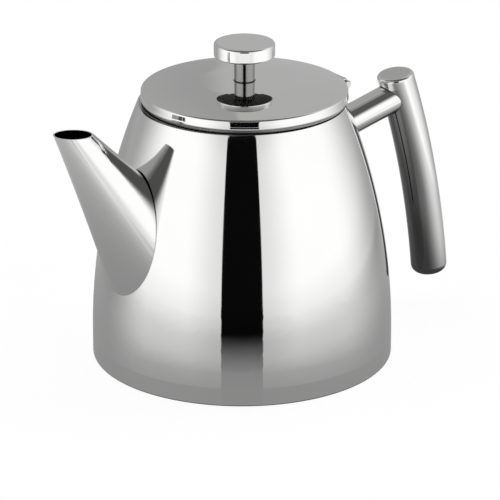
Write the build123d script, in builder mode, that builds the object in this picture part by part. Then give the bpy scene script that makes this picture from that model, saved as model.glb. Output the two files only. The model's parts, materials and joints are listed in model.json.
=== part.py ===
"""Hinged-lid stainless steel teapot with a drop-in infuser, as an assembly of separate pieces.

Millimetres. +Z is up, the spout points along -X and the handle stands on the +X side.
The origin is the centre of the base, on the surface that the pot stands on.
"""

from build123d import *
from math import asin, cos, degrees, radians, sin, sqrt
import os

# ---------------------------------------------------------------- body
BODY_RADIUS = 70.0  # outside radius at the base
STRAIGHT_HEIGHT = 8.7  # the wall is upright to here, then leans in along one arc
SIDE_ARC_RADIUS = 299.0
MOUTH_HEIGHT = 121.5
SHELL_WALL = 0.8
VESSEL_WALL = 0.6
WALL_GAP = 4.5  # air space between the outer shell and the inner vessel
BASE_EDGE_FILLET = 0.6
WELD_GAP = 0.03  # left between two pieces that are welded to each other

FOOT_INNER_RADIUS = 67.0
FOOT_THICKNESS = 0.8
BASE_PLATE_THICKNESS = 0.8
BASE_DISH_RADIUS = 56.0
BASE_DISH_RISE = 1.6
DISH_SLOPE_RUN = 2.0

VESSEL_INSET = SHELL_WALL + WALL_GAP
VESSEL_FLOOR_HEIGHT = 7.5
VESSEL_CORNER_RADIUS = 8.0
VESSEL_TOP = 116.9

COLLAR_RADIUS = 46.9
COLLAR_SEAT_RADIUS = 45.4
COLLAR_BORE_RADIUS = 43.3
COLLAR_SEAT_HEIGHT = 119.5
COLLAR_BOTTOM = 117.0

# ---------------------------------------------------------------- spout
SPOUT_TIP_X = -91.0
SPOUT_TIP_Z = 122.66
SPOUT_SLOPE = 56.44  # degrees below the horizontal, going from the tip to the body
SPOUT_TIP_RADIUS = 7.3
SPOUT_FLARE = 0.204  # growth of the radius for each millimetre from the tip
SPOUT_FLARE_CURVE = 0.000313
SPOUT_WALL = 0.6
SPOUT_LIP_TILT = 4.5  # degrees by which the lip's outer side stands higher
SPOUT_START = -10.0
SPOUT_END = 94.0
DUCT_INSET = 2.6  # from the spout's outside to the duct's outside
DUCT_WALL = 0.6
POUR_HEIGHT = 67.0
POUR_OPENING_RADIUS = 14.0
STRAINER_RADIUS = 17.0
STRAINER_THICKNESS = 0.5
STRAINER_HOLE_RADIUS = 1.5
STRAINER_HOLE_PITCH = 5.4

# ---------------------------------------------------------------- handle
GRIP_RADIUS = 8.7
GRIP_WALL = 1.2
GRIP_BEND_RADIUS = 429.4
GRIP_TOP_X = 86.3
GRIP_TOP_Z = 119.6
GRIP_TOP_LEAN = 19.43  # degrees from the upright
GRIP_LENGTH = 107.2
TOP_CAP_LEAN = 9.0  # degrees from the level, so the cap is cut flatter than the tube leans
TOP_CAP_THICKNESS = 4.5
TOP_CAP_EDGE = 1.6
BOTTOM_CAP_THICKNESS = 5.5
BOTTOM_CAP_EDGE = 4.2
CAP_SPIGOT_LENGTH = 4.0
CAP_SPIGOT_PLAY = 0.05

ARM_RADIUS = 7.15
ARM_WALL = 1.2
ARM_AXIS_X = 60.0
ARM_AXIS_Z = 101.0
ARM_RISE = 15.72  # degrees above the horizontal
ARM_START = -16.0
ARM_END = 31.0
BACKING_RADIUS = 12.0
BACKING_THICKNESS = 1.5

# ---------------------------------------------------------------- hinge
HINGE_X = 52.0
HINGE_Z = 123.0
KNUCKLE_RADIUS = 1.95
HINGE_LENGTH = 20.0
LID_KNUCKLE_LENGTH = 8.0
KNUCKLE_GAP = 0.3
PIN_RADIUS = 1.0
PIN_PRESS_PLAY = 0.01
PIN_RUNNING_PLAY = 0.05
PIN_HEAD_RADIUS = 1.5
PIN_HEAD_THICKNESS = 0.4
BRACKET_BOTTOM = 117.5
BRACKET_WEB_TOP = 120.3
BRACKET_WEB = 1.2
LEAF_BOTTOM = 125.2
LEAF_THICKNESS = 0.6
LEAF_SIDE_GAP = 0.3

# ---------------------------------------------------------------- lid
LID_AXIS_X = 1.45  # the closed lid sits this far off the pot's axis, towards its hinge
LID_RADIUS = 47.5
LID_SKIRT_BOTTOM = 123.3
LID_APEX_HEIGHT = 131.6
LID_CROWN_ARC = 710.0  # the top is nearly flat out to the crown's edge, then turns down
LID_CROWN_EDGE = 20.75
LID_SHOULDER_ARC = 139.4
LID_EDGE_FILLET = 1.3
LID_WALL = 0.8
BEAD_HEIGHT = 1.6  # the rolled bead along the skirt's bottom edge
BEAD_STAND_OUT = 0.2
LINER_RADIUS = 46.6
LINER_WALL = 0.5
LINER_PLUG_RADIUS = 43.2
LINER_PLUG_BOTTOM = 121.0
LINER_FLANGE_BOTTOM = 121.8
LINER_TOP = 125.6

# ---------------------------------------------------------------- knob
KNOB_RADIUS = 14.0
KNOB_BOTTOM = 143.2
KNOB_TOP = 149.8
KNOB_TOP_FILLET = 1.2
KNOB_BOTTOM_FILLET = 0.8
STEM_RADIUS = 4.7
SPIGOT_RADIUS = 3.0
SPIGOT_LENGTH = 3.4
SCREW_RADIUS = 2.0
SCREW_TOP = 138.0
SCREW_HEAD_RADIUS = 3.8
SCREW_HEAD_HEIGHT = 2.2
SCREW_SLOT_WIDTH = 1.0
SCREW_SLOT_DEPTH = 0.9
WASHER_RADIUS = 6.0
WASHER_THICKNESS = 0.8
KNOB_PLAY = 0.05

# ---------------------------------------------------------------- infuser
INFUSER_RADIUS = 37.5
INFUSER_WALL = 0.5
INFUSER_BOTTOM = 46.0
INFUSER_WALL_TOP = 116.0
INFUSER_FLANGE_RADIUS = 45.1
INFUSER_FLANGE_THICKNESS = 1.0
INFUSER_NECK_DEPTH = 7.5
INFUSER_SLOT_WIDTH = 1.4
INFUSER_SLOT_HEIGHT = 4.6
INFUSER_SLOT_ROWS = 8
INFUSER_SLOT_COLUMNS = 30
INFUSER_SLOT_RISE = 7.0
INFUSER_FIRST_ROW = 56.0
BASE_HOLE_RADIUS = 1.5
BASE_HOLE_PITCH = 7.5
BASE_HOLE_RINGS = 4


# ---------------------------------------------------------------- shared geometry
def body_radius(height, inset=0.0):
    """Radius of the body's side at a height, measured inset inside the outer surface."""
    if height <= STRAIGHT_HEIGHT:
        return BODY_RADIUS - inset
    rise = height - STRAIGHT_HEIGHT
    arc_radius = SIDE_ARC_RADIUS - inset
    return BODY_RADIUS - SIDE_ARC_RADIUS + sqrt(arc_radius**2 - rise**2)


def side_arc(inset, low, high):
    """Draw the body's side, from low up to high, in the current BuildLine."""
    middle = (low + high) / 2
    ThreePointArc(
        (body_radius(low, inset), low),
        (body_radius(middle, inset), middle),
        (body_radius(high, inset), high),
    )


def body_envelope(inset):
    """A solid of the whole body, filled in, inset inside the outer surface."""
    with BuildPart() as envelope:
        with BuildSketch(Plane.XZ):
            with BuildLine():
                Polyline(
                    (body_radius(STRAIGHT_HEIGHT, inset), STRAIGHT_HEIGHT),
                    (body_radius(0, inset), 0),
                    (0, 0),
                    (0, MOUTH_HEIGHT),
                    (body_radius(MOUTH_HEIGHT, inset), MOUTH_HEIGHT),
                )
                side_arc(inset, STRAIGHT_HEIGHT, MOUTH_HEIGHT)
            make_face()
        revolve(axis=Axis.Z)
    return envelope.part


def spout_radius(along):
    """Outside radius of the spout, along millimetres from the tip."""
    return SPOUT_TIP_RADIUS + SPOUT_FLARE * along + SPOUT_FLARE_CURVE * along**2


def spout_point(along, out):
    """A point (x, z) on the spout's middle plane, out from its axis towards the pot's top."""
    slope = radians(SPOUT_SLOPE)
    return (
        SPOUT_TIP_X + along * cos(slope) + out * sin(slope),
        SPOUT_TIP_Z - along * sin(slope) + out * cos(slope),
    )


def spout_arc(inset):
    """Draw the spout's side, inset inside its outer surface, in the current BuildLine."""
    middle = (SPOUT_START + SPOUT_END) / 2
    stations = [SPOUT_START, middle, SPOUT_END]
    ThreePointArc(*[spout_point(along, spout_radius(along) - inset) for along in stations])


def spout_cone(outer_inset, inner_inset):
    """A tapering tube about the spout's axis, between two insets. None makes it solid."""
    axis_start = spout_point(SPOUT_START, 0)
    axis_end = spout_point(SPOUT_END, 0)
    spout_axis = Axis(
        (axis_start[0], 0, axis_start[1]),
        (axis_end[0] - axis_start[0], 0, axis_end[1] - axis_start[1]),
    )
    outer_start = spout_point(SPOUT_START, spout_radius(SPOUT_START) - outer_inset)
    outer_end = spout_point(SPOUT_END, spout_radius(SPOUT_END) - outer_inset)
    with BuildPart() as cone:
        with BuildSketch(Plane.XZ):
            with BuildLine():
                spout_arc(outer_inset)
                if inner_inset is None:
                    Polyline(outer_start, axis_start, axis_end, outer_end)
                else:
                    spout_arc(inner_inset)
                    inner_start = spout_point(
                        SPOUT_START, spout_radius(SPOUT_START) - inner_inset
                    )
                    inner_end = spout_point(
                        SPOUT_END, spout_radius(SPOUT_END) - inner_inset
                    )
                    Line(outer_start, inner_start)
                    Line(outer_end, inner_end)
            make_face()
        revolve(axis=spout_axis)
    return cone.part


def lid_height(out, inset=0.0):
    """Height of the lid's top, out from its axis, measured inset inside its outer surface."""
    crown_centre = LID_APEX_HEIGHT - LID_CROWN_ARC
    if out <= LID_CROWN_EDGE:
        return crown_centre + sqrt((LID_CROWN_ARC - inset) ** 2 - out**2)
    slope = asin(LID_CROWN_EDGE / LID_CROWN_ARC)
    shoulder_centre = crown_centre + (LID_CROWN_ARC - LID_SHOULDER_ARC) * cos(slope)
    from_centre = out - LID_CROWN_EDGE + LID_SHOULDER_ARC * sin(slope)
    return shoulder_centre + sqrt((LID_SHOULDER_ARC - inset) ** 2 - from_centre**2)


def lid_arcs(inset, edge):
    """Draw the lid's top from its axis out to edge, in the current BuildLine."""
    for start, end in ((0, LID_CROWN_EDGE), (LID_CROWN_EDGE, edge)):
        stations = [start, (start + end) / 2, end]
        ThreePointArc(*[(out, lid_height(out, inset)) for out in stations])


def lid_level(height):
    """Level plane centred on the lid's axis."""
    return Plane(origin=(LID_AXIS_X, 0, height))


def save(piece, name):
    """Label a finished piece and write it as its own file."""
    piece.part.label = name
    export_step(piece.part, f"parts/{name}.step")


os.makedirs("parts", exist_ok=True)

BODY_OUTSIDE = body_envelope(-WELD_GAP)
BODY_SURFACE = body_envelope(0.0)
VESSEL_OUTSIDE = body_envelope(VESSEL_INSET - WELD_GAP)

LID_AXIS = Axis((LID_AXIS_X, 0, 0), (0, 0, 1))
LID_SECTION = Plane(origin=(LID_AXIS_X, 0, 0), x_dir=(1, 0, 0), z_dir=(0, -1, 0))

# ---------------------------------------------------------------- outer shell
with BuildPart() as outer_shell:
    with BuildSketch(Plane.XZ):
        with BuildLine():
            Polyline(
                (body_radius(STRAIGHT_HEIGHT, SHELL_WALL), STRAIGHT_HEIGHT),
                (BODY_RADIUS - SHELL_WALL, FOOT_THICKNESS),
                (FOOT_INNER_RADIUS, FOOT_THICKNESS),
                (FOOT_INNER_RADIUS, 0),
                (BODY_RADIUS, 0),
                (BODY_RADIUS, STRAIGHT_HEIGHT),
            )
            side_arc(0.0, STRAIGHT_HEIGHT, MOUTH_HEIGHT)
            Line(
                (body_radius(MOUTH_HEIGHT), MOUTH_HEIGHT),
                (body_radius(MOUTH_HEIGHT, SHELL_WALL), MOUTH_HEIGHT),
            )
            side_arc(SHELL_WALL, STRAIGHT_HEIGHT, MOUTH_HEIGHT)
        make_face()
    revolve(axis=Axis.Z)
    base_edge = (
        outer_shell.edges()
        .filter_by(GeomType.CIRCLE)
        .group_by(Axis.Z)[0]
        .sort_by(SortBy.RADIUS)[-1]
    )
    fillet(base_edge, BASE_EDGE_FILLET)
    add(spout_cone(DUCT_INSET - WELD_GAP, None), mode=Mode.SUBTRACT)
save(outer_shell, "outer_shell")

# ---------------------------------------------------------------- base plate
PLATE_RADIUS = BODY_RADIUS - SHELL_WALL - WELD_GAP
PLATE_HEIGHT = FOOT_THICKNESS + WELD_GAP
with BuildPart() as base_plate:
    with BuildSketch(Plane.XZ):
        with BuildLine():
            Polyline(
                (0, PLATE_HEIGHT + BASE_DISH_RISE),
                (BASE_DISH_RADIUS, PLATE_HEIGHT + BASE_DISH_RISE),
                (BASE_DISH_RADIUS + DISH_SLOPE_RUN, PLATE_HEIGHT),
                (PLATE_RADIUS, PLATE_HEIGHT),
                (PLATE_RADIUS, PLATE_HEIGHT + BASE_PLATE_THICKNESS),
                (
                    BASE_DISH_RADIUS + DISH_SLOPE_RUN + BASE_PLATE_THICKNESS / 2,
                    PLATE_HEIGHT + BASE_PLATE_THICKNESS,
                ),
                (
                    BASE_DISH_RADIUS + BASE_PLATE_THICKNESS / 2,
                    PLATE_HEIGHT + BASE_DISH_RISE + BASE_PLATE_THICKNESS,
                ),
                (0, PLATE_HEIGHT + BASE_DISH_RISE + BASE_PLATE_THICKNESS),
                close=True,
            )
        make_face()
    revolve(axis=Axis.Z)
save(base_plate, "base_plate")

# ---------------------------------------------------------------- inner vessel
VESSEL_INNER_INSET = VESSEL_INSET + VESSEL_WALL
VESSEL_FLOOR_TOP = VESSEL_FLOOR_HEIGHT + VESSEL_WALL
VESSEL_SEAM = VESSEL_FLOOR_HEIGHT + VESSEL_CORNER_RADIUS
SIDE_PLANE = Plane.YZ.offset(-BODY_RADIUS)
with BuildPart() as inner_vessel:
    with BuildSketch(Plane.XZ):
        with BuildLine():
            for inset in (VESSEL_INSET, VESSEL_INNER_INSET):
                side_arc(inset, VESSEL_SEAM + WELD_GAP, VESSEL_TOP)
            for height in (VESSEL_SEAM + WELD_GAP, VESSEL_TOP):
                Line(
                    (body_radius(height, VESSEL_INSET), height),
                    (body_radius(height, VESSEL_INNER_INSET), height),
                )
        make_face()
    revolve(axis=Axis.Z)
    with BuildSketch(SIDE_PLANE):
        with Locations((0, POUR_HEIGHT)):
            Circle(POUR_OPENING_RADIUS)
    extrude(amount=BODY_RADIUS / 2, mode=Mode.SUBTRACT)
save(inner_vessel, "inner_vessel")

# The floor is a pressed pan with a rounded corner.
with BuildPart() as vessel_floor:
    with BuildSketch(Plane.XZ) as pan_profile:
        with BuildLine():
            pan_radius = body_radius(VESSEL_SEAM, VESSEL_INSET)
            Polyline(
                (0, VESSEL_FLOOR_HEIGHT),
                (pan_radius, VESSEL_FLOOR_HEIGHT),
                (pan_radius, VESSEL_SEAM),
                (pan_radius - VESSEL_WALL, VESSEL_SEAM),
                (pan_radius - VESSEL_WALL, VESSEL_FLOOR_TOP),
                (0, VESSEL_FLOOR_TOP),
                close=True,
            )
        make_face()
        outside_corner = pan_profile.vertices().group_by(Axis.Y)[0].sort_by(Axis.X)[-1]
        fillet(outside_corner, VESSEL_CORNER_RADIUS - 2 * WELD_GAP)
        inside_corner = pan_profile.vertices().sort_by_distance(
            (pan_radius - VESSEL_WALL, VESSEL_FLOOR_TOP, 0)
        )[0]
        fillet(inside_corner, VESSEL_CORNER_RADIUS - VESSEL_WALL - 2 * WELD_GAP)
    revolve(axis=Axis.Z)
save(vessel_floor, "vessel_floor")

# ---------------------------------------------------------------- strainer, inside the vessel behind the spout
STRAINER_OUTSIDE = body_envelope(VESSEL_INNER_INSET + WELD_GAP)
STRAINER_INSIDE = body_envelope(VESSEL_INNER_INSET + WELD_GAP + STRAINER_THICKNESS)
with BuildPart() as spout_strainer:
    with BuildSketch(SIDE_PLANE):
        with Locations((0, POUR_HEIGHT)):
            Circle(STRAINER_RADIUS)
            with HexLocations(STRAINER_HOLE_PITCH / 2, 4, 4):
                Circle(STRAINER_HOLE_RADIUS, mode=Mode.SUBTRACT)
    extrude(amount=BODY_RADIUS / 2)
    add(STRAINER_OUTSIDE, mode=Mode.INTERSECT)
    add(STRAINER_INSIDE, mode=Mode.SUBTRACT)
save(spout_strainer, "spout_strainer")

# ---------------------------------------------------------------- rim collar, with the infuser's seat
with BuildPart() as rim_collar:
    with BuildSketch(Plane.XZ):
        with BuildLine():
            Polyline(
                (COLLAR_BORE_RADIUS, COLLAR_BOTTOM),
                (COLLAR_RADIUS, COLLAR_BOTTOM),
                (COLLAR_RADIUS, MOUTH_HEIGHT),
                (COLLAR_SEAT_RADIUS, MOUTH_HEIGHT),
                (COLLAR_SEAT_RADIUS, COLLAR_SEAT_HEIGHT),
                (COLLAR_BORE_RADIUS, COLLAR_SEAT_HEIGHT),
                close=True,
            )
        make_face()
    revolve(axis=Axis.Z)
save(rim_collar, "rim_collar")

# ---------------------------------------------------------------- spout
LIP_TILT = radians(SPOUT_LIP_TILT)
LIP_PLANE = Plane(
    origin=(SPOUT_TIP_X, 0, SPOUT_TIP_Z),
    z_dir=(sin(LIP_TILT), 0, cos(LIP_TILT)),
)
with BuildPart() as spout_tube:
    add(spout_cone(0.0, SPOUT_WALL))
    split(bisect_by=LIP_PLANE, keep=Keep.BOTTOM)
    add(BODY_OUTSIDE, mode=Mode.SUBTRACT)
save(spout_tube, "spout_tube")

with BuildPart() as spout_duct:
    add(spout_cone(DUCT_INSET, DUCT_INSET + DUCT_WALL))
    add(BODY_SURFACE, mode=Mode.INTERSECT)
    add(VESSEL_OUTSIDE, mode=Mode.SUBTRACT)
save(spout_duct, "spout_duct")

# ---------------------------------------------------------------- handle
TOP_LEAN = radians(GRIP_TOP_LEAN)
GRIP_CENTRE_X = GRIP_TOP_X - GRIP_BEND_RADIUS * cos(TOP_LEAN)
GRIP_CENTRE_Z = GRIP_TOP_Z - GRIP_BEND_RADIUS * sin(TOP_LEAN)


def grip_angle(along):
    """Angle about the grip's bend centre, in degrees, along millimetres from the top."""
    return GRIP_TOP_LEAN - degrees(along / GRIP_BEND_RADIUS)


def grip_plane(along):
    """Plane across the grip, facing up the grip."""
    angle = radians(grip_angle(along))
    return Plane(
        origin=(
            GRIP_CENTRE_X + GRIP_BEND_RADIUS * cos(angle),
            0,
            GRIP_CENTRE_Z + GRIP_BEND_RADIUS * sin(angle),
        ),
        x_dir=(0, 1, 0),
        z_dir=(-sin(angle), 0, cos(angle)),
    )


def grip_tube(start, end, outer, inner):
    """Length of the bent grip, between two distances from its top."""
    bend_axis = Axis((GRIP_CENTRE_X, 0, GRIP_CENTRE_Z), (0, 1, 0))
    with BuildPart() as tube:
        with BuildSketch(grip_plane(start)):
            Circle(outer)
            if inner:
                Circle(inner, mode=Mode.SUBTRACT)
        revolve(axis=bend_axis, revolution_arc=degrees((end - start) / GRIP_BEND_RADIUS))
    return tube.part


TUBE_END = GRIP_LENGTH - BOTTOM_CAP_THICKNESS
GRIP_BORE = GRIP_RADIUS - GRIP_WALL
with BuildPart() as handle_grip:
    add(grip_tube(TOP_CAP_THICKNESS, TUBE_END, GRIP_RADIUS, GRIP_BORE))
save(handle_grip, "handle_grip")

CAP_LEAN = radians(TOP_CAP_LEAN)
CAP_FACE = Plane(
    origin=(GRIP_TOP_X, 0, GRIP_TOP_Z),
    x_dir=(0, 1, 0),
    z_dir=(-sin(CAP_LEAN), 0, cos(CAP_LEAN)),
)
with BuildPart() as handle_top_cap:
    with BuildSketch(grip_plane(TOP_CAP_THICKNESS)):
        Circle(GRIP_RADIUS)
    extrude(amount=2 * TOP_CAP_THICKNESS)
    split(bisect_by=CAP_FACE, keep=Keep.BOTTOM)
    fillet(handle_top_cap.faces().sort_by(Axis.Z)[-1].edges(), TOP_CAP_EDGE)
    with BuildSketch(grip_plane(TOP_CAP_THICKNESS)):
        Circle(GRIP_BORE - CAP_SPIGOT_PLAY)
    extrude(amount=-CAP_SPIGOT_LENGTH)
save(handle_top_cap, "handle_top_cap")

with BuildPart() as handle_bottom_cap:
    with BuildSketch(grip_plane(TUBE_END)):
        Circle(GRIP_RADIUS)
    extrude(amount=-BOTTOM_CAP_THICKNESS)
    bottom_edge = handle_bottom_cap.edges().filter_by(GeomType.CIRCLE).sort_by(Axis.Z)[0]
    fillet(bottom_edge, BOTTOM_CAP_EDGE)
    with BuildSketch(grip_plane(TUBE_END)):
        Circle(GRIP_BORE - CAP_SPIGOT_PLAY)
    extrude(amount=CAP_SPIGOT_LENGTH)
save(handle_bottom_cap, "handle_bottom_cap")

ARM_ANGLE = radians(ARM_RISE)
ARM_PLANE = Plane(
    origin=(ARM_AXIS_X, 0, ARM_AXIS_Z),
    x_dir=(0, 1, 0),
    z_dir=(cos(ARM_ANGLE), 0, sin(ARM_ANGLE)),
)
GRIP_OUTSIDE = grip_tube(0, GRIP_LENGTH, GRIP_RADIUS + WELD_GAP, None)
with BuildPart() as handle_arm:
    with BuildSketch(ARM_PLANE.offset(ARM_START)):
        Circle(ARM_RADIUS)
        Circle(ARM_RADIUS - ARM_WALL, mode=Mode.SUBTRACT)
    extrude(amount=ARM_END - ARM_START)
    add(BODY_OUTSIDE, mode=Mode.SUBTRACT)
    add(GRIP_OUTSIDE, mode=Mode.SUBTRACT)
save(handle_arm, "handle_arm")

BACKING_OUTSIDE = body_envelope(SHELL_WALL + WELD_GAP)
BACKING_INSIDE = body_envelope(SHELL_WALL + WELD_GAP + BACKING_THICKNESS)
with BuildPart() as arm_backing_plate:
    with BuildSketch(ARM_PLANE.offset(ARM_START)):
        Circle(BACKING_RADIUS)
    extrude(amount=ARM_END - ARM_START)
    add(BACKING_OUTSIDE, mode=Mode.INTERSECT)
    add(BACKING_INSIDE, mode=Mode.SUBTRACT)
save(arm_backing_plate, "arm_backing_plate")

# ---------------------------------------------------------------- hinge
BRACKET_KNUCKLE_START = LID_KNUCKLE_LENGTH / 2 + KNUCKLE_GAP
with BuildPart() as hinge_bracket:
    with BuildSketch(Plane.XZ.offset(-HINGE_LENGTH / 2)):
        with Locations((HINGE_X, HINGE_Z)):
            Circle(KNUCKLE_RADIUS)
        with BuildLine():
            Polyline(
                (HINGE_X + KNUCKLE_RADIUS, HINGE_Z),
                (HINGE_X - KNUCKLE_RADIUS, HINGE_Z),
                (body_radius(MOUTH_HEIGHT) - 1, BRACKET_WEB_TOP),
                (body_radius(MOUTH_HEIGHT) - 1, BRACKET_BOTTOM),
                (body_radius(BRACKET_BOTTOM) + BRACKET_WEB, BRACKET_BOTTOM),
                close=True,
            )
        make_face()
    extrude(amount=HINGE_LENGTH)
    with Locations((HINGE_X, 0, BRACKET_WEB_TOP)):
        Box(
            4 * KNUCKLE_RADIUS,
            2 * BRACKET_KNUCKLE_START,
            4 * KNUCKLE_RADIUS,
            align=(Align.CENTER, Align.CENTER, Align.MIN),
            mode=Mode.SUBTRACT,
        )
    add(BODY_OUTSIDE, mode=Mode.SUBTRACT)
    with BuildSketch(Plane.XZ.offset(-HINGE_LENGTH / 2)):
        with Locations((HINGE_X, HINGE_Z)):
            Circle(PIN_RADIUS + PIN_PRESS_PLAY)
    extrude(amount=HINGE_LENGTH, mode=Mode.SUBTRACT)
save(hinge_bracket, "hinge_bracket")

with BuildPart() as hinge_pin:
    with BuildSketch(Plane.XZ.offset(-HINGE_LENGTH / 2)):
        with Locations((HINGE_X, HINGE_Z)):
            Circle(PIN_RADIUS)
    extrude(amount=HINGE_LENGTH)
    for face_offset, direction in ((-HINGE_LENGTH / 2, -1), (HINGE_LENGTH / 2, 1)):
        with BuildSketch(Plane.XZ.offset(face_offset)):
            with Locations((HINGE_X, HINGE_Z)):
                Circle(PIN_HEAD_RADIUS)
        extrude(amount=direction * PIN_HEAD_THICKNESS)
save(hinge_pin, "hinge_pin")

LEAF_TOP = LEAF_BOTTOM + LEAF_THICKNESS
LEAF_WIDTH = HINGE_LENGTH - 2 * LEAF_SIDE_GAP
with BuildPart() as lid_hinge_leaf:
    with BuildSketch(Plane.XZ.offset(-LEAF_WIDTH / 2)):
        with Locations((HINGE_X, LEAF_BOTTOM)):
            Rectangle(LID_RADIUS / 4, LEAF_THICKNESS, align=(Align.MAX, Align.MIN))
    extrude(amount=LEAF_WIDTH)
    with BuildSketch(Plane.XZ.offset(-LID_KNUCKLE_LENGTH / 2)):
        with Locations((HINGE_X, HINGE_Z)):
            Circle(KNUCKLE_RADIUS)
            Rectangle(KNUCKLE_RADIUS, LEAF_TOP - HINGE_Z, align=(Align.MAX, Align.MIN))
    extrude(amount=LID_KNUCKLE_LENGTH)
    with BuildSketch(lid_level(HINGE_Z)):
        Circle(LID_RADIUS + WELD_GAP)
    extrude(amount=LID_APEX_HEIGHT - HINGE_Z, mode=Mode.SUBTRACT)
    with BuildSketch(Plane.XZ.offset(-LID_KNUCKLE_LENGTH / 2)):
        with Locations((HINGE_X, HINGE_Z)):
            Circle(PIN_RADIUS + PIN_RUNNING_PLAY)
    extrude(amount=LID_KNUCKLE_LENGTH, mode=Mode.SUBTRACT)
save(lid_hinge_leaf, "lid_hinge_leaf")

# ---------------------------------------------------------------- lid
SKIRT_INNER_RADIUS = LID_RADIUS - LID_WALL
with BuildPart() as lid_shell:
    with BuildSketch(LID_SECTION):
        with BuildLine():
            lid_arcs(0.0, LID_RADIUS)
            Line(
                (LID_RADIUS, lid_height(LID_RADIUS)),
                (LID_RADIUS, LID_SKIRT_BOTTOM + BEAD_HEIGHT),
            )
            ThreePointArc(
                (LID_RADIUS, LID_SKIRT_BOTTOM + BEAD_HEIGHT),
                (LID_RADIUS + BEAD_STAND_OUT, LID_SKIRT_BOTTOM + BEAD_HEIGHT / 2),
                (LID_RADIUS, LID_SKIRT_BOTTOM),
            )
            Polyline(
                (LID_RADIUS, LID_SKIRT_BOTTOM),
                (SKIRT_INNER_RADIUS, LID_SKIRT_BOTTOM),
                (SKIRT_INNER_RADIUS, lid_height(SKIRT_INNER_RADIUS, LID_WALL)),
            )
            lid_arcs(LID_WALL, SKIRT_INNER_RADIUS)
            Line((0, lid_height(0, LID_WALL)), (0, LID_APEX_HEIGHT))
        make_face()
    revolve(axis=LID_AXIS)
    rim_edge = lid_shell.edges().filter_by(GeomType.CIRCLE).sort_by_distance(
        (LID_AXIS_X + LID_RADIUS, 0, lid_height(LID_RADIUS))
    )[0]
    fillet(rim_edge, LID_EDGE_FILLET)
    with BuildSketch(lid_level(LID_SKIRT_BOTTOM)):
        Circle(SCREW_RADIUS + KNOB_PLAY)
    extrude(amount=2 * (LID_APEX_HEIGHT - LID_SKIRT_BOTTOM), mode=Mode.SUBTRACT)
save(lid_shell, "lid_shell")

with BuildPart() as lid_liner:
    with BuildSketch(LID_SECTION):
        with BuildLine():
            Polyline(
                (0, LINER_PLUG_BOTTOM),
                (LINER_PLUG_RADIUS, LINER_PLUG_BOTTOM),
                (LINER_PLUG_RADIUS, LINER_FLANGE_BOTTOM),
                (LINER_RADIUS, LINER_FLANGE_BOTTOM),
                (LINER_RADIUS, LINER_TOP),
                (LINER_RADIUS - LINER_WALL, LINER_TOP),
                (LINER_RADIUS - LINER_WALL, LINER_FLANGE_BOTTOM + LINER_WALL),
                (LINER_PLUG_RADIUS - LINER_WALL, LINER_FLANGE_BOTTOM + LINER_WALL),
                (LINER_PLUG_RADIUS - LINER_WALL, LINER_PLUG_BOTTOM + LINER_WALL),
                (0, LINER_PLUG_BOTTOM + LINER_WALL),
                close=True,
            )
        make_face()
    revolve(axis=LID_AXIS)
save(lid_liner, "lid_liner")

# ---------------------------------------------------------------- knob
with BuildPart() as knob_stem:
    with BuildSketch(lid_level(LID_APEX_HEIGHT)):
        Circle(STEM_RADIUS)
    extrude(amount=KNOB_BOTTOM - LID_APEX_HEIGHT)
    with BuildSketch(lid_level(LID_APEX_HEIGHT)):
        Circle(SCREW_RADIUS + KNOB_PLAY)
    extrude(amount=SCREW_TOP + KNOB_PLAY - LID_APEX_HEIGHT, mode=Mode.SUBTRACT)
    with BuildSketch(lid_level(KNOB_BOTTOM)):
        Circle(SPIGOT_RADIUS + KNOB_PLAY)
    extrude(amount=-SPIGOT_LENGTH - KNOB_PLAY, mode=Mode.SUBTRACT)
save(knob_stem, "knob_stem")

with BuildPart() as knob_disc:
    with BuildSketch(lid_level(KNOB_BOTTOM)):
        Circle(KNOB_RADIUS)
    extrude(amount=KNOB_TOP - KNOB_BOTTOM)
    fillet(knob_disc.edges().group_by(Axis.Z)[-1], KNOB_TOP_FILLET)
    fillet(knob_disc.edges().group_by(Axis.Z)[0], KNOB_BOTTOM_FILLET)
    with BuildSketch(lid_level(KNOB_BOTTOM)):
        Circle(SPIGOT_RADIUS)
    extrude(amount=-SPIGOT_LENGTH)
save(knob_disc, "knob_disc")

LID_UNDERSIDE = LID_APEX_HEIGHT - LID_WALL - 2 * KNOB_PLAY
SCREW_HEAD_TOP = LID_UNDERSIDE - WASHER_THICKNESS
with BuildPart() as knob_washer:
    with BuildSketch(lid_level(SCREW_HEAD_TOP)):
        Circle(WASHER_RADIUS)
        Circle(SCREW_RADIUS + KNOB_PLAY, mode=Mode.SUBTRACT)
    extrude(amount=WASHER_THICKNESS)
save(knob_washer, "knob_washer")

with BuildPart() as knob_screw:
    with BuildSketch(lid_level(SCREW_HEAD_TOP)):
        Circle(SCREW_RADIUS)
    extrude(amount=SCREW_TOP - SCREW_HEAD_TOP)
    with BuildSketch(lid_level(SCREW_HEAD_TOP - SCREW_HEAD_HEIGHT)):
        Circle(SCREW_HEAD_RADIUS)
    extrude(amount=SCREW_HEAD_HEIGHT)
    with BuildSketch(lid_level(SCREW_HEAD_TOP - SCREW_HEAD_HEIGHT)):
        Rectangle(2 * SCREW_HEAD_RADIUS + 1, SCREW_SLOT_WIDTH)
    extrude(amount=SCREW_SLOT_DEPTH, mode=Mode.SUBTRACT)
save(knob_screw, "knob_screw")

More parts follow.
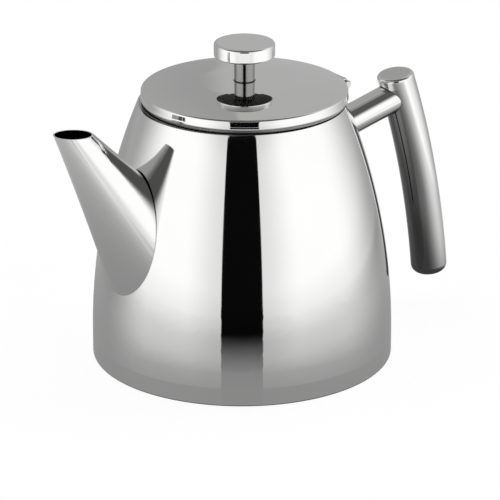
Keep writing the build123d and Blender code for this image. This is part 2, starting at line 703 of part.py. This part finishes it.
# ---------------------------------------------------------------- infuser
with BuildPart() as infuser_basket:
    with BuildSketch(Plane.XY.offset(INFUSER_BOTTOM)):
        Circle(INFUSER_RADIUS)
        Circle(INFUSER_RADIUS - INFUSER_WALL, mode=Mode.SUBTRACT)
    extrude(amount=INFUSER_WALL_TOP - INFUSER_BOTTOM)
    for row in range(INFUSER_SLOT_ROWS):
        half_step = 180 / INFUSER_SLOT_COLUMNS * (row % 2)
        with Locations(Plane.XY.offset(INFUSER_FIRST_ROW + row * INFUSER_SLOT_RISE)):
            with PolarLocations(INFUSER_RADIUS, INFUSER_SLOT_COLUMNS, start_angle=half_step):
                Box(
                    4 * INFUSER_WALL,
                    INFUSER_SLOT_WIDTH,
                    INFUSER_SLOT_HEIGHT,
                    mode=Mode.SUBTRACT,
                )
save(infuser_basket, "infuser_basket")

BASE_OUTER = INFUSER_RADIUS - INFUSER_WALL - KNOB_PLAY
with BuildPart() as infuser_base:
    with BuildSketch(Plane.XY.offset(INFUSER_BOTTOM)):
        Circle(BASE_OUTER)
        Circle(BASE_HOLE_RADIUS, mode=Mode.SUBTRACT)
        for ring in range(1, BASE_HOLE_RINGS + 1):
            with PolarLocations(ring * BASE_HOLE_PITCH, 6 * ring):
                Circle(BASE_HOLE_RADIUS, mode=Mode.SUBTRACT)
    extrude(amount=INFUSER_WALL)
save(infuser_base, "infuser_base")

with BuildPart() as infuser_rim:
    with BuildSketch(Plane.XY.offset(COLLAR_SEAT_HEIGHT)):
        Circle(INFUSER_FLANGE_RADIUS)
        Circle(BASE_OUTER - INFUSER_WALL, mode=Mode.SUBTRACT)
    extrude(amount=INFUSER_FLANGE_THICKNESS)
    with BuildSketch(Plane.XY.offset(COLLAR_SEAT_HEIGHT)):
        Circle(BASE_OUTER)
        Circle(BASE_OUTER - INFUSER_WALL, mode=Mode.SUBTRACT)
    extrude(amount=-INFUSER_NECK_DEPTH)
save(infuser_rim, "infuser_rim")
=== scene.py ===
"""A mirror-polished stainless steel teapot with an infuser, in a plain pale studio."""

import json
import math

import bpy
from mathutils import Matrix, Vector

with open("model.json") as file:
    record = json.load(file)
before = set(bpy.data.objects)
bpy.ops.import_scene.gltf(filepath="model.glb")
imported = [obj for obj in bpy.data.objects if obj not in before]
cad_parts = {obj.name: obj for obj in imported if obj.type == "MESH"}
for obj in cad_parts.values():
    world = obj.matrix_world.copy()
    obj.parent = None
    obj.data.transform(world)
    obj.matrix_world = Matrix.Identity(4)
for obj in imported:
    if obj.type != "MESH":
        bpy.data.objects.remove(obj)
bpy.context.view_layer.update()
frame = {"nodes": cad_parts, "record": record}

# Lengths are in metres unless a comment says otherwise. A pair of numbers says where a
# smooth change starts and where it ends.

# ---------------------------------------------------------------- camera's numbers
# The studio is turned so that its front faces the camera, which stands off the spout's side.
VIEW_TURN = math.radians(33.45)
CAMERA_DISTANCE = 1.4074
CAMERA_HEIGHT = 0.5918
CAMERA_PITCH = math.radians(21.10)
CAMERA_YAW = math.radians(0.152)
CAMERA_LENS = 233.4  # millimetres
CAMERA_SENSOR = 36.0  # millimetres
CAMERA_NEAREST = 0.05
CAMERA_FARTHEST = 60.0

# ---------------------------------------------------------------- studio's numbers
# Bearings are degrees to either side of straight in front, except that MIDDLE has right
# positive and left negative. Elevations are degrees above the horizon.
STUDIO_STRENGTH = 1.25

# Each screen brightens outwards from the gap and then fades into the back wall.
SCREEN_RISE = (15.0, 48.0)
SCREEN_INNER_LEVEL = 0.73
SCREEN_OUTER_LEVEL = 0.99
RIGHT_FADE = (84.0, 148.0)
RIGHT_BACK_LEVEL = 0.40
LEFT_FADE = (76.0, 128.0)
LEFT_BACK_LEVEL = 0.35
MIDDLE = (-1.0, 1.0)

# Straight behind, the left part of the back wall dips and then steps up to the right part.
BACK_DIP = (166.0, 178.0)
BACK_DIP_CHANGE = -0.04
BACK_STEP = (178.2, 179.4)
BACK_STEP_CHANGE = 0.09

# The ceiling starts above the screens. BEHIND is in parts of the direction's length.
SCREEN_TOP = (18.0, 44.0)
CEILING_LEVEL = 0.085
BEHIND = (-0.10, 0.42)

GAP_HALF_WIDTH = 15.7
GAP_SIDE_SOFTNESS = 0.4
GAP_TOP = 25.5
GAP_TOP_SOFTNESS = 0.5
GAP_CORNER_WIDTH = 3.5
GAP_CORNER_DROP = 1.2
GAP_LEVEL = 0.0025

# Below the horizon the walls are seen again, as in a glossy table, with a dimmer band.
BAND_BOTTOM = (-18.5, -14.0)
BAND_TOP = (-11.0, -3.5)
BAND_LEVEL = 0.86

# ---------------------------------------------------------------- floor's numbers
FLOOR_SIZE = 30.0
FLOOR_TONE = 0.30
FLOOR_GLOW = 0.875

# The rest is how the steel sees the floor, whose glow there is painted light, with painted shade
# near the pot. A reach is a distance from the pot's axis, and a slant goes from 0, straight down
# at the floor, to 1, along it.
NEAR_LEVEL = 0.31
OUTER_LEVEL = 1.05
BRIGHTEN_REACH = (0.09, 0.42)
DIM_SLANT = (0.61, 0.784)
MIRROR_SLANT = (0.577, 0.861)
MIRROR_REACH = (0.29, 0.36)

# The floor carries a painted shadow under the handle, to the studio's right.
SHADE = 0.42
SHADE_ACROSS = (0.0, 0.090)
SHADE_AWAY = (-0.140, -0.050)
SHADE_REACH = (0.120, 0.250)
SHADE_SLANT = (0.500, 0.610)

# Far out at the studio's front the floor has a painted bright patch.
PATCH_AWAY = (-0.445, -0.425)
PATCH_SLANT = (0.72, 0.76)

# ---------------------------------------------------------------- steel's numbers
# rings is how many cycles of the rings' noise fit in a metre, and the last entry is how far
# from a neighbouring piece the steel gets painted shade.
POLISHED = {
    "base": 0.80,
    "roughness": 0.018,
    "haze": 0.015,
    "rings": 900.0,
    "ring_depth": 0.0000002,
    "crease_shade_reach": 0.0009,
}
TURNED = {
    "base": 0.31,
    "roughness": 0.07,
    "haze": 0.05,
    "rings": 2500.0,
    "ring_depth": 0.0000006,
    "crease_shade_reach": 0.0009,
}
INNER = {
    "base": 0.70,
    "roughness": 0.30,
    "haze": 0.10,
    "rings": 1500.0,
    "ring_depth": 0.000002,
    "crease_shade_reach": 0.0015,
}
TONE_SPREAD = 0.015
BLUE_SHARE = 0.992
RINGS_AROUND = 6.0

CLOUD_SCALE = 45.0
CLOUD_DETAIL = 5.0
CLOUD_HAZE = (0.35, 0.72)
STREAK_DETAIL = 4.0
STREAK_ROUGHNESS = 0.65
STREAK_HAZE = (0.40, 0.75)

# Painted shade darkens the steel's tone where ambient occlusion finds it closed in. An OPEN pair
# is how open a point is, from 0 deep in a corner to 1 in the open. A SHARE is the part of the
# steel's tone left where the pair starts.
CREASE_SHADE_OPEN = (0.60, 0.98)
CREASE_SHADE_SHARE = 0.03
POT_SIDE_REACH = 0.055
POT_SIDE_OPEN = (0.50, 0.86)
POT_SIDE_SHARE = 0.25

# A normal's upward part, for faces that look straight down, which get painted shade and a rougher
# finish.
UNDERSIDE = (-0.98, -0.80)
UNDERSIDE_SHADE_TONE = 0.05
UNDERSIDE_ROUGHNESS = 0.45


# ---------------------------------------------------------------- node helpers
def new_material(name):
    """An empty node material, its tree and its output node."""
    material = bpy.data.materials.new(name)
    material.use_nodes = True
    tree = material.node_tree
    tree.nodes.clear()
    output = tree.nodes.new("ShaderNodeOutputMaterial")
    return material, tree, output


def feed(tree, socket, value):
    """Sets a socket to a number, or links it to another node's output."""
    if isinstance(value, (int, float)):
        socket.default_value = value
    else:
        tree.links.new(value, socket)


def math_node(tree, operation, first, second=None):
    """A Math node fed by sockets or numbers. Returns its output."""
    node = tree.nodes.new("ShaderNodeMath")
    node.operation = operation
    feed(tree, node.inputs[0], first)
    if second is not None:
        feed(tree, node.inputs[1], second)
    return node.outputs[0]


def times(tree, first, second):
    """The product of two sockets or numbers."""
    return math_node(tree, "MULTIPLY", first, second)


def plus(tree, first, second):
    """The sum of two sockets or numbers."""
    return math_node(tree, "ADD", first, second)


def smooth_step(tree, value, start, end, low=0.0, high=1.0):
    """Goes smoothly from low to high as value goes from start to end."""
    node = tree.nodes.new("ShaderNodeMapRange")
    node.interpolation_type = "SMOOTHSTEP"
    feed(tree, node.inputs["Value"], value)
    node.inputs["From Min"].default_value = start
    node.inputs["From Max"].default_value = end
    node.inputs["To Min"].default_value = low
    node.inputs["To Max"].default_value = high
    return node.outputs["Result"]


def mix_value(tree, factor, first, second):
    """first where factor is 0 and second where it is 1."""
    node = tree.nodes.new("ShaderNodeMix")
    node.data_type = "FLOAT"
    feed(tree, node.inputs["Factor"], factor)
    feed(tree, node.inputs[2], first)
    feed(tree, node.inputs[3], second)
    return node.outputs[0]


def mix_shader(tree, factor, first, second):
    """The first shader where factor is 0 and the second where it is 1."""
    node = tree.nodes.new("ShaderNodeMixShader")
    feed(tree, node.inputs[0], factor)
    tree.links.new(first, node.inputs[1])
    tree.links.new(second, node.inputs[2])
    return node.outputs[0]


def camera_ray(tree):
    """1 for what the camera sees directly and 0 for what is seen in a reflection."""
    return tree.nodes.new("ShaderNodeLightPath").outputs["Is Camera Ray"]


def noise(tree, vector, scale, detail, roughness=0.5):
    """Noise between 0 and 1 at a scale given in cycles for each unit of the vector."""
    node = tree.nodes.new("ShaderNodeTexNoise")
    node.inputs["Scale"].default_value = scale
    node.inputs["Detail"].default_value = detail
    node.inputs["Roughness"].default_value = roughness
    tree.links.new(vector, node.inputs["Vector"])
    return node.outputs["Fac"]


def emission(tree, strength):
    """A white glow of the strength given."""
    node = tree.nodes.new("ShaderNodeEmission")
    feed(tree, node.inputs["Strength"], strength)
    return node.outputs[0]


def split_vector(tree, vector):
    """The three parts of a vector."""
    node = tree.nodes.new("ShaderNodeSeparateXYZ")
    tree.links.new(vector, node.inputs[0])
    return node.outputs


def studio_axes(tree, vector):
    """A vector's parts across the studio, away from its front, and up."""
    turn = tree.nodes.new("ShaderNodeMapping")
    turn.inputs["Rotation"].default_value = (0, 0, VIEW_TURN)
    tree.links.new(vector, turn.inputs["Vector"])
    return split_vector(tree, turn.outputs["Vector"])


# ---------------------------------------------------------------- studio, floor and camera
def wall_level(tree, across, away, elevation):
    """How bright the screens, the back wall and the ceiling are, and the side bearing."""
    towards = times(tree, away, -1.0)
    bearing = math_node(tree, "ARCTAN2", across, towards)
    bearing = times(tree, bearing, 180 / math.pi)
    side = math_node(tree, "ABSOLUTE", bearing)

    inner = smooth_step(tree, side, *SCREEN_RISE, SCREEN_INNER_LEVEL, SCREEN_OUTER_LEVEL)
    right_fade = smooth_step(tree, side, *RIGHT_FADE, 1.0, RIGHT_BACK_LEVEL)
    left_fade = smooth_step(tree, side, *LEFT_FADE, 1.0, LEFT_BACK_LEVEL)
    left_fade = plus(tree, left_fade, smooth_step(tree, side, *BACK_DIP, 0.0, BACK_DIP_CHANGE))
    left_fade = plus(tree, left_fade, smooth_step(tree, side, *BACK_STEP, 0.0, BACK_STEP_CHANGE))
    right_side = smooth_step(tree, bearing, *MIDDLE)
    outer = mix_value(tree, right_side, left_fade, right_fade)
    screens = times(tree, inner, outer)

    # Overhead it is dark, except that the back wall reaches far up.
    behind = smooth_step(tree, away, *BEHIND)
    ceiling = mix_value(tree, behind, CEILING_LEVEL, outer)
    above = smooth_step(tree, elevation, *SCREEN_TOP)
    return mix_value(tree, above, screens, ceiling), side


def gap_opening(tree, side, elevation):
    """0 inside the dark gap between the screens, which has rounded top corners, and 1 outside."""
    corner_start = GAP_HALF_WIDTH - GAP_CORNER_WIDTH
    corner = smooth_step(tree, side, corner_start, GAP_HALF_WIDTH, 0.0, GAP_CORNER_DROP)
    height = plus(tree, elevation, corner)
    past_top = smooth_step(tree, height, GAP_TOP - GAP_TOP_SOFTNESS, GAP_TOP + GAP_TOP_SOFTNESS)
    side_start = GAP_HALF_WIDTH - GAP_SIDE_SOFTNESS
    side_end = GAP_HALF_WIDTH + GAP_SIDE_SOFTNESS
    past_side = smooth_step(tree, side, side_start, side_end)
    return math_node(tree, "MAXIMUM", past_side, past_top)


def make_world():
    """The studio that the steel reflects, and plain white for the camera.

    It has two bright side screens with a dark gap between them in front, and grey behind.
    """
    world = bpy.data.worlds.new("studio")
    world.use_nodes = True
    bpy.context.scene.world = world
    tree = world.node_tree
    tree.nodes.clear()
    output = tree.nodes.new("ShaderNodeOutputWorld")
    coordinates = tree.nodes.new("ShaderNodeTexCoord")
    across, away, rise = studio_axes(tree, coordinates.outputs["Generated"])
    elevation = math_node(tree, "ARCSINE", rise)
    elevation = times(tree, elevation, 180 / math.pi)

    walls, side = wall_level(tree, across, away, elevation)
    level = mix_value(tree, gap_opening(tree, side, elevation), GAP_LEVEL, walls)
    band = smooth_step(tree, elevation, *BAND_TOP, BAND_LEVEL, 1.0)
    under_band = smooth_step(tree, elevation, *BAND_BOTTOM, 1.0 - BAND_LEVEL, 0.0)
    level = times(tree, level, plus(tree, band, under_band))

    studio = tree.nodes.new("ShaderNodeBackground")
    tree.links.new(level, studio.inputs["Color"])
    studio.inputs["Strength"].default_value = STUDIO_STRENGTH
    plain = tree.nodes.new("ShaderNodeBackground")
    plain.inputs["Color"].default_value = (1.0, 1.0, 1.0, 1.0)
    plain.inputs["Strength"].default_value = 1.0
    seen = mix_shader(tree, camera_ray(tree), studio.outputs[0], plain.outputs[0])
    tree.links.new(seen, output.inputs["Surface"])


def pale_floor(tree):
    """The floor as the camera sees it."""
    pale = tree.nodes.new("ShaderNodeBsdfPrincipled")
    pale.inputs["Base Color"].default_value = (FLOOR_TONE, FLOOR_TONE, FLOOR_TONE, 1.0)
    pale.inputs["Roughness"].default_value = 1.0
    pale.inputs["Specular IOR Level"].default_value = 0.0
    pale.inputs["Emission Color"].default_value = (1.0, 1.0, 1.0, 1.0)
    pale.inputs["Emission Strength"].default_value = FLOOR_GLOW
    return pale.outputs[0]


def reflected_floor(tree):
    """The floor as the steel sees it.

    It glows with painted light, dimmed by painted shade near the pot and under the handle, with a
    painted bright patch far out in front. Far out, and at a slant, it lets the walls below the
    horizon show, as a glossy table would.
    """
    position = tree.nodes.new("ShaderNodeNewGeometry").outputs["Position"]
    distance = tree.nodes.new("ShaderNodeVectorMath")
    distance.operation = "LENGTH"
    tree.links.new(position, distance.inputs[0])
    reach = distance.outputs["Value"]
    facing = tree.nodes.new("ShaderNodeLayerWeight")
    facing.inputs["Blend"].default_value = 0.5
    slant = facing.outputs["Facing"]
    across, away = studio_axes(tree, position)[:2]

    # Painted shadow on the floor under the handle.
    shade = smooth_step(tree, across, *SHADE_ACROSS, 0.0, SHADE)
    shade = times(tree, shade, smooth_step(tree, away, *SHADE_AWAY))
    shade = times(tree, shade, smooth_step(tree, reach, *SHADE_REACH, 1.0, 0.0))
    shade = times(tree, shade, smooth_step(tree, slant, *SHADE_SLANT, 1.0, 0.0))
    lit = smooth_step(tree, reach, *BRIGHTEN_REACH, NEAR_LEVEL, OUTER_LEVEL)
    lit = times(tree, lit, math_node(tree, "SUBTRACT", 1.0, shade))
    dim = emission(tree, times(tree, lit, smooth_step(tree, slant, *DIM_SLANT, 1.0, 0.0)))

    sheen = tree.nodes.new("ShaderNodeBsdfTransparent")
    feed(tree, sheen.inputs["Color"], smooth_step(tree, slant, *MIRROR_SLANT))
    near = tree.nodes.new("ShaderNodeAddShader")
    tree.links.new(dim, near.inputs[0])
    tree.links.new(sheen.outputs[0], near.inputs[1])
    clear = tree.nodes.new("ShaderNodeBsdfTransparent")
    far = smooth_step(tree, reach, *MIRROR_REACH)
    floor = mix_shader(tree, far, near.outputs[0], clear.outputs[0])

    patch = smooth_step(tree, away, *PATCH_AWAY, 1.0, 0.0)
    patch = times(tree, patch, smooth_step(tree, slant, *PATCH_SLANT, 1.0, 0.0))
    return mix_shader(tree, patch, floor, emission(tree, OUTER_LEVEL))


def make_floor():
    """A plain pale floor, with its own look in the steel's reflections."""
    mesh = bpy.data.meshes.new("floor")
    half = FLOOR_SIZE / 2
    corners = [(-half, -half, 0), (half, -half, 0), (half, half, 0), (-half, half, 0)]
    mesh.from_pydata(corners, [], [(0, 1, 2, 3)])
    floor = bpy.data.objects.new("floor", mesh)
    bpy.context.scene.collection.objects.link(floor)
    material, tree, output = new_material("floor")
    seen = mix_shader(tree, camera_ray(tree), reflected_floor(tree), pale_floor(tree))
    tree.links.new(seen, output.inputs["Surface"])
    mesh.materials.append(material)


def make_camera():
    """The camera, in front of the pot and above it, looking down."""
    data = bpy.data.cameras.new("camera")
    data.lens = CAMERA_LENS
    data.sensor_width = CAMERA_SENSOR
    data.clip_start = CAMERA_NEAREST
    data.clip_end = CAMERA_FARTHEST
    camera = bpy.data.objects.new("camera", data)
    bpy.context.scene.collection.objects.link(camera)
    level = Vector((math.sin(CAMERA_YAW), math.cos(CAMERA_YAW), 0))
    forward = level * math.cos(CAMERA_PITCH) - Vector((0, 0, math.sin(CAMERA_PITCH)))
    turn = Matrix.Rotation(-VIEW_TURN, 3, "Z")
    camera.location = turn @ Vector((0, -CAMERA_DISTANCE, CAMERA_HEIGHT))
    camera.rotation_mode = "QUATERNION"
    camera.rotation_quaternion = (turn @ forward).to_track_quat("-Z", "Y")
    bpy.context.scene.camera = camera


# ---------------------------------------------------------------- steel
def lathe_vectors(tree, rings):
    """Plain coordinates, and ones that stretch a texture into rings about the pot's axis."""
    position = tree.nodes.new("ShaderNodeTexCoord").outputs["Object"]
    x, y, z = split_vector(tree, position)
    out = math_node(tree, "SQRT", plus(tree, times(tree, x, x), times(tree, y, y)))
    angle = math_node(tree, "ARCTAN2", y, x)
    ringed = tree.nodes.new("ShaderNodeCombineXYZ")
    feed(tree, ringed.inputs[0], times(tree, out, rings))
    feed(tree, ringed.inputs[1], times(tree, angle, RINGS_AROUND))
    feed(tree, ringed.inputs[2], times(tree, z, rings))
    return position, ringed.outputs[0]


def painted_occlusion_shade(tree, reach, openness, share):
    """The part of the tone left: share, deep in a corner, to 1. It looks as far as reach."""
    # Painted shade: ambient occlusion darkens the tone in corners and creases.
    node = tree.nodes.new("ShaderNodeAmbientOcclusion")
    node.inputs["Distance"].default_value = reach
    return smooth_step(tree, node.outputs["AO"], *openness, share, 1.0)


def steel(
    name, base, roughness, haze, rings, ring_depth, crease_shade_reach, painted_underside_shade=False, painted_pot_shade=False
):
    """Stainless steel with fine rings from polishing, an uneven haze, and painted shade in
    creases and where pieces meet.

    One switch gives faces that look straight down painted shade, a near-black tone, and a
    rougher finish. Another gives the sides that look at the pot from close by painted shade.
    """
    material, tree, output = new_material(name)
    shader = tree.nodes.new("ShaderNodeBsdfPrincipled")
    shader.inputs["Metallic"].default_value = 1.0
    position, ringed = lathe_vectors(tree, rings)
    cloud = noise(tree, position, CLOUD_SCALE, CLOUD_DETAIL)
    streak = noise(tree, ringed, 1.0, STREAK_DETAIL, STREAK_ROUGHNESS)
    tone = mix_value(tree, cloud, base - TONE_SPREAD, base + TONE_SPREAD)
    uneven = smooth_step(tree, cloud, *CLOUD_HAZE, roughness, roughness + haze)
    grade = plus(tree, uneven, smooth_step(tree, streak, *STREAK_HAZE, 0.0, haze))

    # Painted shade: in creases and where two pieces meet, the steel's tone is darkened.
    light = painted_occlusion_shade(tree, crease_shade_reach, CREASE_SHADE_OPEN, CREASE_SHADE_SHARE)
    # Painted shade on the sides that look at the pot from close by.
    if painted_pot_shade:
        pot_shade = painted_occlusion_shade(tree, POT_SIDE_REACH, POT_SIDE_OPEN, POT_SIDE_SHARE)
        light = times(tree, light, pot_shade)
    tone = times(tree, tone, light)
    # Painted shade: faces that look straight down get a near-black tone, with a rougher finish.
    if painted_underside_shade:
        normal = tree.nodes.new("ShaderNodeTexCoord").outputs["Normal"]
        not_below = smooth_step(tree, split_vector(tree, normal)[2], *UNDERSIDE)
        tone = mix_value(tree, not_below, UNDERSIDE_SHADE_TONE, tone)
        grade = mix_value(tree, not_below, UNDERSIDE_ROUGHNESS, grade)

    colour = tree.nodes.new("ShaderNodeCombineColor")
    feed(tree, colour.inputs[0], tone)
    feed(tree, colour.inputs[1], tone)
    feed(tree, colour.inputs[2], times(tree, tone, BLUE_SHARE))
    tree.links.new(colour.outputs[0], shader.inputs["Base Color"])
    feed(tree, shader.inputs["Roughness"], grade)
    bump = tree.nodes.new("ShaderNodeBump")
    bump.inputs["Distance"].default_value = ring_depth
    tree.links.new(streak, bump.inputs["Height"])
    tree.links.new(bump.outputs[0], shader.inputs["Normal"])
    tree.links.new(shader.outputs[0], output.inputs["Surface"])
    return material


make_world()
make_floor()
make_camera()

bpy.context.scene.view_settings.view_transform = "Standard"

MATERIALS = {
    "polished_steel": steel("polished_steel", **POLISHED),
    "turned_steel": steel("turned_steel", **TURNED),
    "inner_steel": steel("inner_steel", **INNER),
}
# The knob's steel has painted shade on its underside, and the handle's steel painted shade on the
# sides that face the pot.
KNOB_STEEL = steel("knob_steel", **POLISHED, painted_underside_shade=True)
HANDLE_STEEL = steel("handle_steel", **POLISHED, painted_pot_shade=True)
OWN_MATERIALS = {
    "knob_disc": KNOB_STEEL,
    "handle_grip": HANDLE_STEEL,
    "handle_bottom_cap": HANDLE_STEEL,
}
slot_of = {part["node"]: part["material_slot"] for part in frame["record"]["subparts"]}
for name, node in frame["nodes"].items():
    node.data.materials.clear()
    node.data.materials.append(OWN_MATERIALS.get(name, MATERIALS[slot_of[name]]))
